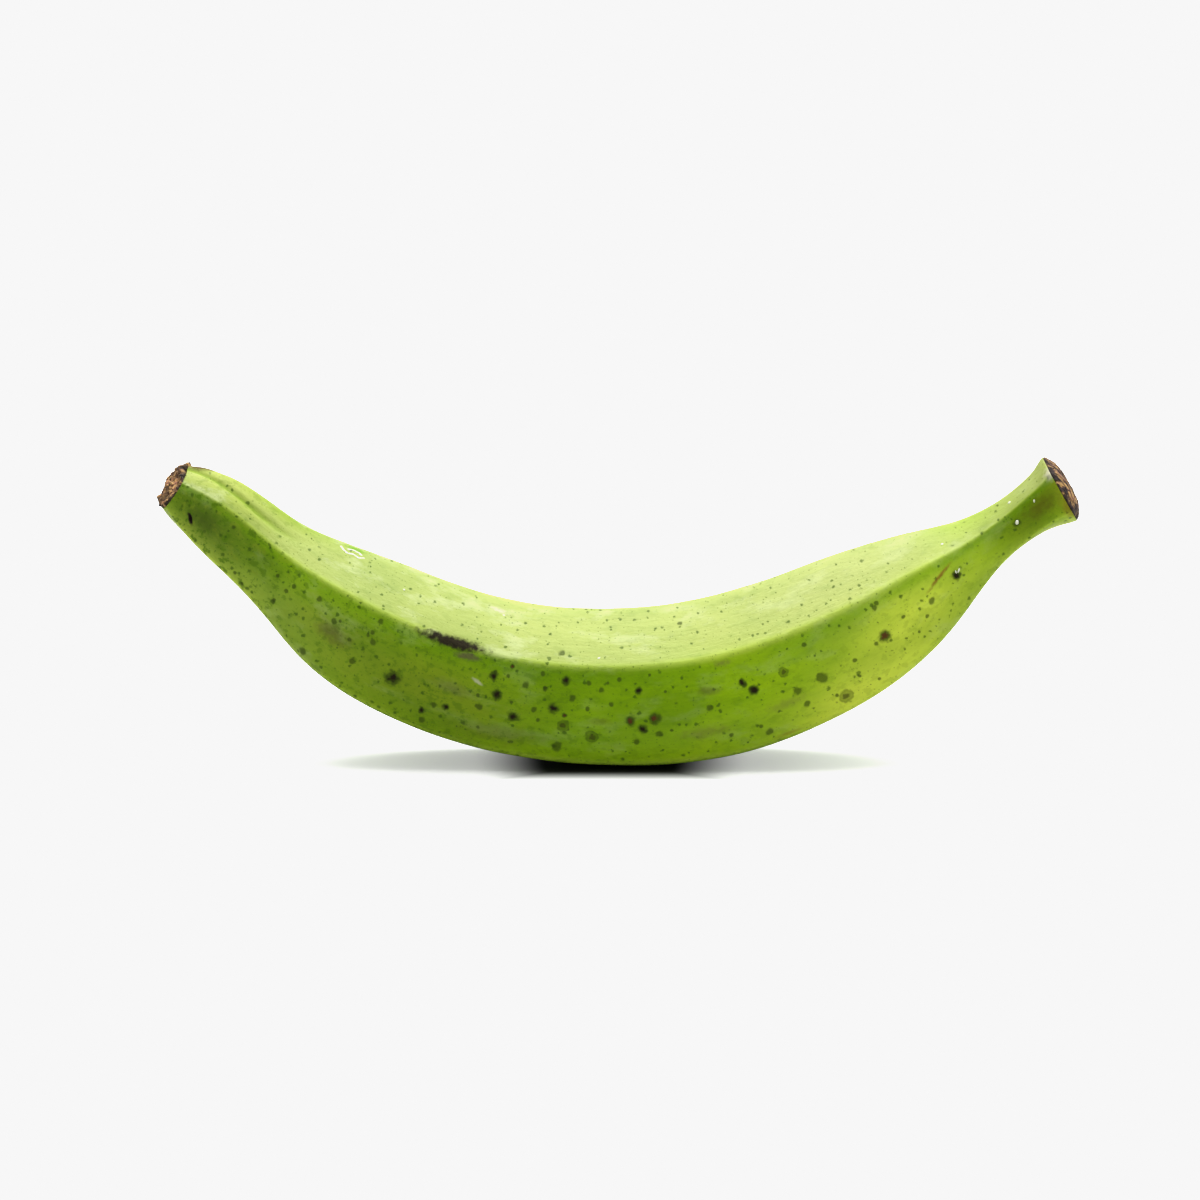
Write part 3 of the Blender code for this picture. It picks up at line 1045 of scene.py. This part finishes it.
def new_group(name, inputs, outputs):
    """An empty node group with named sockets: its tree, what enters it, and its exit."""
    tree = bpy.data.node_groups.new(name, "ShaderNodeTree")
    for way, sockets in (("INPUT", inputs), ("OUTPUT", outputs)):
        for socket, kind in sockets:
            tree.interface.new_socket(socket, in_out=way, socket_type="NodeSocket" + kind)
    entry = tree.nodes.new("NodeGroupInput").outputs
    return tree, entry, tree.nodes.new("NodeGroupOutput")


def fill_group(tree, group, sockets):
    """Place a node group in a tree, then fill its sockets by name."""
    made = tree.nodes.new("ShaderNodeGroup")
    made.node_tree = group
    return fill(tree, made, sockets).outputs


# %% [markdown]
# ## Specks
#
# The peel is peppered with tiny pores, and the dry ends with crumbs. Both are cells
# of a Voronoi texture: each cell has one point and one random colour, so the distance
# to the point makes a dot, and the random colour decides its size and whether it is
# there at all. Noise bends the dots so that none is a perfect circle.

# %% A group for specks
SPECK_BEND = 0.0011         # metres
specks, entry, leave = new_group(
    "Specks",
    (("Place", "Vector"), ("Cells per metre", "Float"), ("Size", "Float"), ("Share", "Float")),
    (("Mask", "Float"),))
wander = wandering(specks, entry["Place"], 900.0)
bend = vector(specks, "SCALE", {0: wander, "Scale": SPECK_BEND})
bent = vector(specks, "ADD", {0: entry["Place"], 1: bend})
cells = add(specks, "TexVoronoi", {"Vector": bent, "Scale": entry["Cells per metre"]}).outputs
fate = add(specks, "SeparateColor", {"Color": cells["Color"]}).outputs
reach = times(specks, entry["Size"], ease(specks, fate["Red"], 0.0, 1.0, 0.45, 1.0))
dot = ease(specks, cells["Distance"], reach, times(specks, reach, 0.4))
there = reckon(specks, "LESS_THAN", fate["Green"], entry["Share"])
fill(specks, leave, {"Mask": times(specks, dot, there)})

# %% [markdown]
# ## One spot, one mark
#
# A spot on a green plantain has a dead brown core, sometimes a thin ring, and an
# olive halo that fades into the green. The spot group reads a point's place in its
# spot and lays halo, ring and core over whatever colour comes in, so three sheets
# of spots are three of these groups in a row. The mark group does the same for scars and
# bruises, with one tint and an edge as soft as the mark asks.

# %% Two groups, each for one sheet
HALO_COLOUR = (0.034, 0.060, 0.004, 1.0)


def sheet_group(name, kept):
    """A group for one sheet, with how far from its mark's middle a point lies."""
    tree, entry, leave = new_group(
        name,
        (("Colour", "Color"), ("Place", "Vector"), ("Tint", "Color"), ("Habit", "Vector"),
         ("Bend", "Vector")),
        (("Colour", "Color"), (kept, "Float")))
    bent = vector(tree, "ADD", {0: entry["Place"], 1: entry["Bend"]})
    away = vector(tree, "LENGTH", {0: bent}, "Value")
    return tree, entry, leave, away, apart(tree, entry["Habit"])


spot_group, entry, leave, away, habit = sheet_group("Spot on skin", "Core")
halo = times(spot_group, ease(spot_group, away, 1.2, 0.55), habit["Z"])
ring_out = ease(spot_group, away, 1.15, 0.9)
ring = times(spot_group, ease(spot_group, away, 0.55, 0.85), ring_out)
core = times(spot_group, ease(spot_group, away, 0.62, 0.25), habit["X"])
colour = tinted(spot_group, halo, entry["Colour"], HALO_COLOUR)
colour = tinted(spot_group, times(spot_group, ring, habit["Y"]), colour, HALO_COLOUR)
colour = tinted(spot_group, core, colour, entry["Tint"])
fill(spot_group, leave, {"Colour": colour, "Core": core})

mark_group, entry, leave, away, habit = sheet_group("Mark on skin", "Rough")
inner = reckon(mark_group, "SUBTRACT", 1.0, habit["Y"])
cover = times(mark_group, ease(mark_group, away, 1.05, inner), habit["X"])
colour = tinted(mark_group, cover, entry["Colour"], entry["Tint"])
fill(mark_group, leave, {"Colour": colour, "Rough": times(mark_group, cover, habit["Z"])})

# %% [markdown]
# ## The green peel
#
# The peel is a waxy skin over wet green flesh. Its colour starts from the stored
# ground. Broad noise makes it cloudy, noise stretched along the fruit gives the fine
# strings under the skin, and specks, spots and marks come on top. The wax is not
# mirror-smooth, so the roughness is in the middle and varies, and a fine bump breaks
# the light up.

# %% The peel's material
PEEL_ROUGHNESS = 0.40
PEEL_SPECULAR = 0.05
PEEL_BUMP = 0.00022         # metres
BLOOM_AND_SHEEN_COLOUR = (0.60, 0.66, 0.36, 1.0)
BLOTCH_COLOUR = (0.080, 0.165, 0.004, 1.0)
OLIVE_COLOUR = (0.23, 0.30, 0.02, 1.0)
SPECK_COLOUR = (0.035, 0.085, 0.003, 1.0)
# Cells per metre, size in cells, share of cells, cover.
SPECKS = ((430.0, 0.36, 0.8, 0.75), (1050.0, 0.38, 0.7, 0.5), (230.0, 0.22, 0.55, 0.7))
# A family of marks, its group, the number that the group hands on, and how far noise
# moves the marks' edges, in their own radii.
FAMILIES = (("mark", mark_group, "Rough", 1.1), ("spot", spot_group, "Core", 1.3))


def new_material(name, specular):
    """A material with an empty tree, its Principled shader and its tree."""
    material = bpy.data.materials.new(name)
    material.use_nodes = True
    tree = material.node_tree
    shader = tree.nodes["Principled BSDF"]
    shader.inputs["Specular IOR Level"].default_value = specular
    return material, tree, shader


def bumped(tree, shader, height, distance):
    """Feed a height through a Bump node into the shader's normal."""
    bump = add(tree, "Bump", {"Height": height, "Distance": distance, "Strength": 1.0})
    fill(tree, shader, {"Normal": bump.outputs["Normal"]})


green_peel, tree, shader = new_material("green_peel", PEEL_SPECULAR)
place = stored(tree, "straight")
oblong = stretched(tree, place, (0.45, 1.0, 1.0))
clouds = noise(tree, oblong, 55.0, 3.0)
strings = noise(tree, stretched(tree, place, (0.09, 1.0, 1.0)), 900.0, 3.0, 0.6)
smudges = noise(tree, oblong, 260.0, 4.0, 0.6)
bloom = noise(tree, oblong, 120.0, 5.0, 0.65)
blotches = noise(tree, stretched(tree, place, (0.75, 1.0, 1.0)), 430.0, 4.0, 0.62)
habit = apart(tree, stored(tree, "habit"))
dark_cloud = times(tree, ease(tree, clouds, 0.46, 0.66, 0.0, 0.8), habit["Z"])
pale_cloud = times(tree, ease(tree, clouds, 0.5, 0.32, 0.0, 0.7), habit["Z"])
dark_string = ease(tree, strings, 0.50, 0.72, 0.0, 0.5)
dark_smudge = ease(tree, smudges, 0.52, 0.75, 0.0, 0.5)
# bloom, on the top partly painted sheen: a whitish veil where the light from above would shine
bloom_and_sheen = times(tree, ease(tree, bloom, 0.5, 0.68), ease(tree, habit["Y"], 0.0, 1.0, 0.10, 0.42))
blotch = times(tree, times(tree, ease(tree, blotches, 0.53, 0.61), habit["X"]), 0.72)
olive = times(tree, times(tree, ease(tree, blotches, 0.47, 0.34), habit["X"]), 0.3)
colour = stored(tree, "ground", "Color")
for share, tint, mode in ((dark_cloud, (0.66, 0.72, 0.6, 1.0), "MULTIPLY"),
                          (pale_cloud, (1.28, 1.16, 1.2, 1.0), "MULTIPLY"),
                          (dark_string, (0.82, 0.86, 0.8, 1.0), "MULTIPLY"),
                          (dark_smudge, (0.70, 0.78, 0.7, 1.0), "MULTIPLY"),
                          (bloom_and_sheen, BLOOM_AND_SHEEN_COLOUR, "MIX"), (blotch, BLOTCH_COLOUR, "MIX"),
                          (olive, OLIVE_COLOUR, "MIX")):
    colour = tinted(tree, share, colour, tint, mode)
dense = ease(tree, habit["X"], 0.2, 1.0, 0.45, 1.0)
for cells_per_metre, size, share, cover in SPECKS:
    sockets = {"Place": place, "Cells per metre": cells_per_metre, "Size": size,
               "Share": times(tree, dense, share)}
    mask = fill_group(tree, specks, sockets)["Mask"]
    colour = tinted(tree, times(tree, mask, cover), colour, SPECK_COLOUR)

wander = wandering(tree, place, 560.0, 4.0)
most = {}
for family, group, kept, bend_size in FAMILIES:
    most[kept] = 0.0
    bend = vector(tree, "SCALE", {0: wander, "Scale": bend_size})
    for sheet in range(SHEETS):
        sockets = {part: stored(tree, "%s_%s_%d" % (family, part.lower(), sheet))
                   for part in ("Place", "Tint", "Habit")}
        made = fill_group(tree, group, {"Colour": colour, "Bend": bend, **sockets})
        colour = made["Colour"]
        most[kept] = reckon(tree, "MAXIMUM", most[kept], made[kept])
rough, core = most["Rough"], most["Core"]
waxy = ease(tree, bloom, 0.3, 0.7, PEEL_ROUGHNESS - 0.06, PEEL_ROUGHNESS + 0.1)
waxy = plus(tree, plus(tree, waxy, times(tree, rough, 0.45)), times(tree, core, 0.2))
fill(tree, shader, {"Base Color": colour, "Roughness": waxy})

grain = noise(tree, oblong, 1100.0, 3.0, 0.6)
torn = times(tree, noise(tree, oblong, 1500.0, 4.0, 0.7), rough)
height = 0.0
for part, share in ((grain, 0.5), (smudges, 1.2), (strings, 0.35), (torn, 3.0), (core, -0.8)):
    height = plus(tree, height, times(tree, part, share))
bumped(tree, shader, height, PEEL_BUMP)
peel.data.materials.append(green_peel)
print("the peel's material has", len(tree.nodes), "nodes")

# %% [markdown]
# ## Dry fibre
#
# Both ends are dead, dry tissue: tan and pinkish strings with black gaps between
# them, and a nearly black edge. One group makes it from a stretched noise for the
# strings and a Voronoi pattern for the gaps. The scar uses it coarse and dark, and
# the cut uses it finer and with more tan.

# %% A group for dry fibre
fibre, entry, leave = new_group(
    "Dry fibre",
    (("Place", "Vector"), ("Strings per metre", "Float"), ("Pale", "Color"), ("Middle", "Color"),
     ("Dark", "Color"), ("Darkness", "Float")),
    (("Colour", "Color"), ("Height", "Float")))
long_way = stretched(fibre, entry["Place"], (0.26, 1.0, 0.8))
sockets = {"Vector": long_way, "Scale": entry["Strings per metre"]}
gaps = add(fibre, "TexVoronoi", sockets, feature="DISTANCE_TO_EDGE").outputs["Distance"]
sockets = {**sockets, "Detail": 4.0, "Roughness": 0.65, "Distortion": 0.6}
strings = add(fibre, "TexNoise", sockets).outputs["Fac"]
patches = noise(fibre, entry["Place"], 480.0)
depth = times(fibre, ease(fibre, strings, 0.56, 0.44), entry["Darkness"])
crack = ease(fibre, gaps, 0.09, 0.01)
colour = tinted(fibre, ease(fibre, patches, 0.42, 0.6), entry["Pale"], entry["Middle"])
colour = tinted(fibre, depth, colour, entry["Dark"])
colour = tinted(fibre, times(fibre, crack, 0.6), colour, entry["Dark"])
height = reckon(fibre, "SUBTRACT", strings, times(fibre, crack, 0.4))
fill(fibre, leave, {"Colour": colour, "Height": height})

# %% The two ends' materials
FACE_RADIUS = 0.01          # metres, for the face's own flat places
FACE_DEPTH = 0.002          # metres, for the side and the back
FACE_BUMP = 0.0009          # metres
FRAY = 0.5                  # how far noise moves the start of the dark rim
CRUMBS = {"Cells per metre": 900.0, "Size": 0.4, "Share": 0.45}
# A piece and its places, its material's name, strings per metre, pale, middle and dark
# colours, darkness, the rim's colour, and the share of the way out where it starts.
ENDS = (
    (stalk_cut, cut_places, "cut_fibre", 850.0, (0.56, 0.33, 0.11, 1.0),
     (0.24, 0.10, 0.06, 1.0), (0.018, 0.009, 0.006, 1.0), 1.0, (0.026, 0.016, 0.014, 1.0), 0.93),
    (blossom_scar, scar_places, "scar_fibre", 520.0, (0.66, 0.38, 0.14, 1.0),
     (0.42, 0.18, 0.09, 1.0), (0.018, 0.010, 0.006, 1.0), 0.8, (0.020, 0.012, 0.008, 1.0), 0.95),
)
for piece, places, name, strings_per_metre, pale, brown, dark, darkness, rim, rim_start in ENDS:
    behind_rows = len(places) - FRONT_ROWS
    out = np.concatenate((FACE_SHARES, np.ones(behind_rows)))
    flat = on_disc(*np.meshgrid(out, PLUG_ANGLES, indexing="ij"), FACE_RADIUS)
    flat[FRONT_ROWS:, :, 2] = np.linspace(0.0, FACE_DEPTH, behind_rows)[:, None]
    remember(piece, "face", flat)
    material, tree, shader = new_material(name, 0.3)
    place = stored(tree, "face")
    flat_place = stretched(tree, place, (1.0 / FACE_RADIUS, 1.0 / FACE_RADIUS, 0.0))
    way_out = vector(tree, "LENGTH", {0: flat_place}, "Value")
    made = fill_group(tree, fibre, {
        "Place": place, "Strings per metre": strings_per_metre, "Pale": pale,
        "Middle": brown, "Dark": dark, "Darkness": darkness})
    uneven = reckon(tree, "SUBTRACT", noise(tree, place, 500.0, 3.0), 0.5)
    edge = plus(tree, way_out, times(tree, uneven, FRAY))
    burnt = ease(tree, edge, rim_start - 0.04, rim_start + 0.05, 0.0, 0.95)
    crumbs = fill_group(tree, specks, {"Place": place, **CRUMBS})["Mask"]
    colour = tinted(tree, burnt, made["Colour"], rim)
    colour = tinted(tree, times(tree, crumbs, 0.8), colour, dark)
    dryness = ease(tree, made["Height"], 0.3, 0.7, 0.85, 0.55)
    fill(tree, shader, {"Base Color": colour, "Roughness": dryness})
    bumped(tree, shader, made["Height"], FACE_BUMP)
    piece.data.materials.append(material)
    print(name, "has", len(tree.nodes), "nodes")

# %% The dried sap's material
SAP_ROUGHNESS = 0.16
SAP_BUMP = 0.0001           # metres
SAP_DULL = (0.66, 0.72, 0.48, 1.0)
SAP_PALE = (0.85, 0.86, 0.74, 1.0)
sap, tree, shader = new_material("dried_sap", 0.5)
cloudy = noise(tree, add(tree, "TexCoord").outputs["Object"], 1200.0, 3.0)
colour = tinted(tree, ease(tree, cloudy, 0.35, 0.65), SAP_DULL, SAP_PALE)
matt = ease(tree, cloudy, 0.3, 0.7, SAP_ROUGHNESS, SAP_ROUGHNESS + 0.2)
fill(tree, shader, {"Base Color": colour, "Roughness": matt})
bumped(tree, shader, cloudy, SAP_BUMP)
dried_sap.data.materials.append(sap)

# %% [markdown]
# ## Floor, light and camera
#
# The fruit lies on a plain white table in a white room. Most of the light comes from
# a large soft window above and a little behind, so the upper skin is bright, the front
# is a deep green, and the shadow falls under the fruit and slightly forward. A sky
# with one bright patch does this without visible lamps: its strength is read from the
# direction. The camera doesn't see that sky but a plain pale one, which the floor
# meets without a line. The floor that the camera sees also carries a painted shadow,
# nearly black under the fruit, and a painted glow that whitens it further out.

# %% The floor
FLOOR_REACH = 40.0          # metres to the floor's edge
SEEN_FLOOR = (0.98, 0.985, 0.98, 1.0)       # what the camera sees of it
# painted shadow: a nearly black floor colour under the fruit
PAINTED_SHADOW_FLOOR = (0.014, 0.016, 0.012, 1.0)     # and under the fruit
LIT_FLOOR = (0.50, 0.50, 0.47, 1.0)         # what lights the fruit's underside
# painted light: the floor glows for the camera, more the further it is from the fruit
PAINTED_FLOOR_GLOW = 0.5
# Metres from where the fruit stands at which the painted shadow starts to give way to
# white and painted glow, and where they are whole: its first quick rise, its slow
# rest, and its rises toward the front and the back.
QUICK_RISE = (0.020, 0.043)
QUICK_SHARE = 0.74
SLOW_RISE = (0.035, 0.115)
FRONT_RISE = (-0.019, -0.040)
BACK_RISE = (0.020, 0.055)
SHADOW_PLACE = (-0.003, 0.0, 0.0)   # the middle of the dark place, in metres
SHADOW_STRETCH = (1.0, 0.5, 1.0)    # distances across count half
FLOOR_ROUGHNESS = 0.8
WHITE = (1.0, 1.0, 1.0, 1.0)
floor_mesh = bpy.data.meshes.new("floor")
floor_corners = [(x * FLOOR_REACH, y * FLOOR_REACH, 0.0)
                 for x, y in ((-1, -1), (1, -1), (1, 1), (-1, 1))]
floor_mesh.from_pydata(floor_corners, [], [(0, 1, 2, 3)])
floor = bpy.data.objects.new("floor", floor_mesh)
bpy.context.scene.collection.objects.link(floor)
white_table, tree, shader = new_material("white_table", 0.2)
ray = add(tree, "LightPath").outputs["Is Camera Ray"]
place = add(tree, "TexCoord").outputs["Object"]
beside = vector(tree, "SUBTRACT", {0: place, 1: SHADOW_PLACE})
beside = vector(tree, "LENGTH", {0: stretched(tree, beside, SHADOW_STRETCH)}, "Value")
quick_part = ease(tree, beside, *QUICK_RISE, 0.0, QUICK_SHARE)
slow_part = ease(tree, beside, *SLOW_RISE, 0.0, 1.0 - QUICK_SHARE)
clear_of_painted_shadow = plus(tree, quick_part, slow_part)
for rise in (FRONT_RISE, BACK_RISE):
    clear_of_painted_shadow = reckon(tree, "MAXIMUM", clear_of_painted_shadow, ease(tree, apart(tree, place)["Y"], *rise))
# painted shadow and painted glow, seen by the camera only
shadowed_paper = tinted(tree, clear_of_painted_shadow, PAINTED_SHADOW_FLOOR, SEEN_FLOOR)
painted_glow = times(tree, times(tree, clear_of_painted_shadow, PAINTED_FLOOR_GLOW), ray)
fill(tree, shader, {
    "Base Color": tinted(tree, ray, LIT_FLOOR, shadowed_paper), "Roughness": FLOOR_ROUGHNESS,
    "Emission Color": WHITE, "Emission Strength": painted_glow})
floor_mesh.materials.append(white_table)

# %% The light
KEY = 6.65                  # strength of the bright window overhead
KEY_LEAN = 10.0 * DEGREE    # how far it leans back behind the fruit
KEY_INNER = 17.0 * DEGREE   # from its middle to where it starts to fade
KEY_OUTER = 38.0 * DEGREE
HORIZON = 0.85              # the room's strength low down behind the fruit
FRONT_DIM = 0.50            # what is left of it toward the camera's side
RIGHT_LIFT = 0.7            # how much brighter the right side is than the left
SEEN_SKY = 1.5              # what the camera sees
world = bpy.data.worlds.new("white_room")
bpy.context.scene.world = world
world.use_nodes = True
tree = world.node_tree
tree.nodes.clear()
outward = add(tree, "TexCoord").outputs["Generated"]
way = apart(tree, outward)
front = ease(tree, way["Y"], 0.35, -0.45, 1.0, FRONT_DIM)
right = plus(tree, 1.0, times(tree, way["X"], RIGHT_LIFT))
low_sky = times(tree, times(tree, front, right), HORIZON)
lean = (0.0, float(np.sin(KEY_LEAN)), float(np.cos(KEY_LEAN)))
facing_key = vector(tree, "DOT_PRODUCT", {0: outward, 1: lean}, "Value")
key = ease(tree, facing_key, float(np.cos(KEY_OUTER)), float(np.cos(KEY_INNER)), 0.0, KEY)
lit = add(tree, "Background", {"Color": WHITE, "Strength": plus(tree, low_sky, key)})
seen = add(tree, "Background", {"Color": WHITE, "Strength": SEEN_SKY})
ray = add(tree, "LightPath").outputs["Is Camera Ray"]
sky = add(tree, "MixShader", {0: ray, 1: lit.outputs[0], 2: seen.outputs[0]})
add(tree, "OutputWorld", {"Surface": sky.outputs[0]})

# %% The film
PAPER_WHITE = 0.93          # the brightest tone of the finished picture
KNEE = PAPER_WHITE - 0.03   # tones below this stay as they are
view = bpy.context.scene.view_settings
view.view_transform = "Standard"
view.use_curve_mapping = True
tone = view.curve_mapping
tone.extend = "HORIZONTAL"
curve = tone.curves[3]
curve.points[1].location = (1.0, PAPER_WHITE)
curve.points.new(KNEE, KNEE)
for point in curve.points:
    point.handle_type = "VECTOR"
tone.update()

# %% The camera
CAMERA_TARGET = np.array((-0.006, 0.0, 0.0485))
CAMERA_DISTANCE = 1.0
CAMERA_ELEVATION = 8.5 * DEGREE
camera_data = bpy.data.cameras.new("camera")
camera_data.lens = 100.0
camera_data.sensor_width = 36.0
camera = bpy.data.objects.new("camera", camera_data)
bpy.context.scene.collection.objects.link(camera)
camera.location = CAMERA_TARGET + CAMERA_DISTANCE * np.array(
    (0.0, -np.cos(CAMERA_ELEVATION), np.sin(CAMERA_ELEVATION)))
camera.rotation_euler = (0.5 * np.pi - CAMERA_ELEVATION, 0.0, 0.0)
bpy.context.scene.camera = camera

# %% [markdown]
# ## Joining the frame
#
# The last cell hangs each piece on the body it moves with, and hides the plain solid
# of the fruit.

# %% What rides on what
for piece, finish in ((peel, "peel"), (stalk_cut, "stalk_cut"),
                      (blossom_scar, "blossom_scar"), (dried_sap, "dried_sap")):
    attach(piece, "root")
    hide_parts("plantain")
